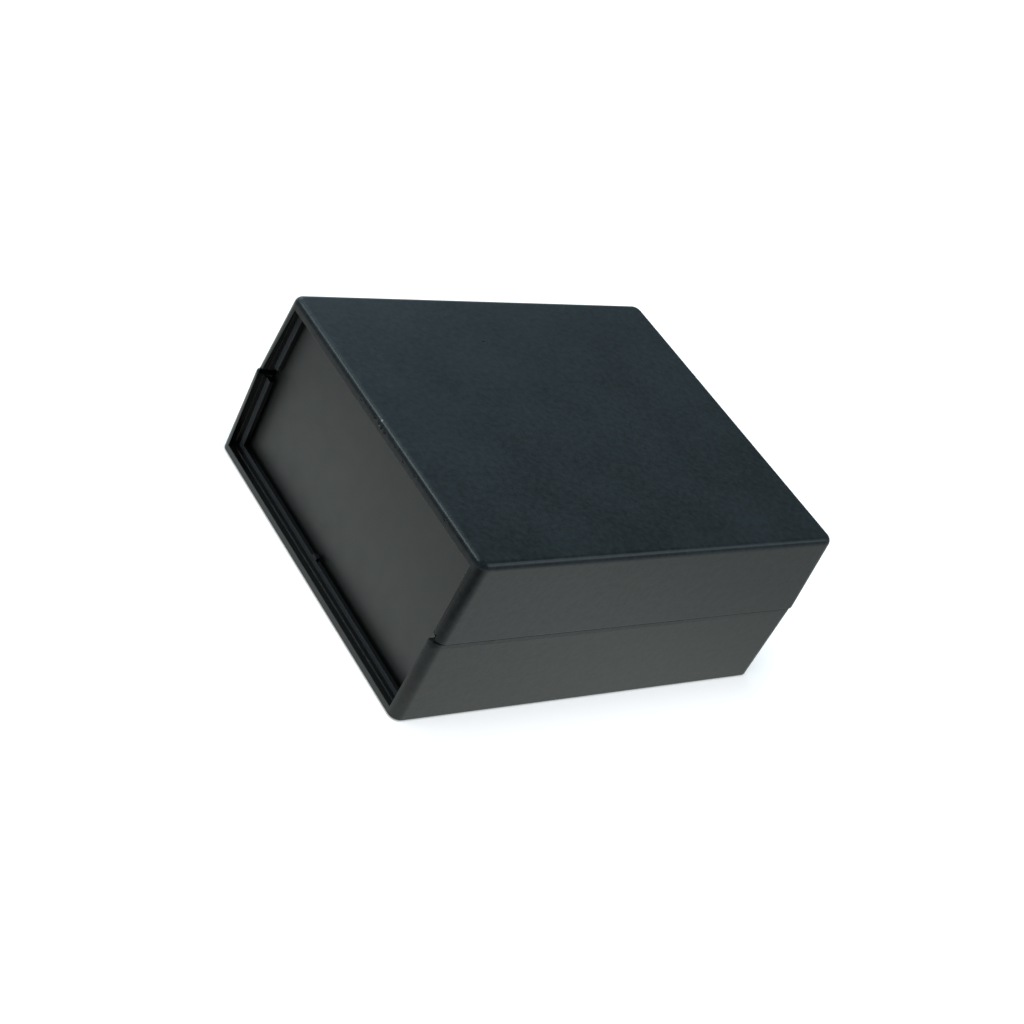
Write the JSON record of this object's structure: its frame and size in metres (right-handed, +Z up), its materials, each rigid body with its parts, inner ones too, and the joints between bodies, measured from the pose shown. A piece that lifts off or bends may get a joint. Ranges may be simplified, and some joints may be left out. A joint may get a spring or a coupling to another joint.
{
  "type": "plastic project box",
  "caption": "Rectangular two-part plastic instrument case with flat end panels held in grooves, screw bosses and board posts inside.",
  "frame": {"origin": "middle of the underside, at the height it stands on", "axes": "+X from the front panel toward the rear panel, +Y across the case, +Z up through the roof"},
  "size_m": [0.1205, 0.1, 0.0505],
  "materials": {
    "bottom_plastic": "fine moulded texture, near black",
    "top_plastic": "fine moulded texture, near black",
    "panel_plastic": "smooth satin, dark grey",
    "screw_steel": "zinc plated"
  },
  "bodies": {
    "base": {"bottom_shell": "bottom_plastic", "front_panel": "panel_plastic", "rear_panel": "panel_plastic", "case_screws": "screw_steel"},
    "lid": {"top_shell": "top_plastic"}
  },
  "joints": [
    {"name": "lid_lift", "type": "slide", "parent": "base", "child": "lid", "axis": [0, 0, 1], "range_m": [0, 0.06]}
  ]
}
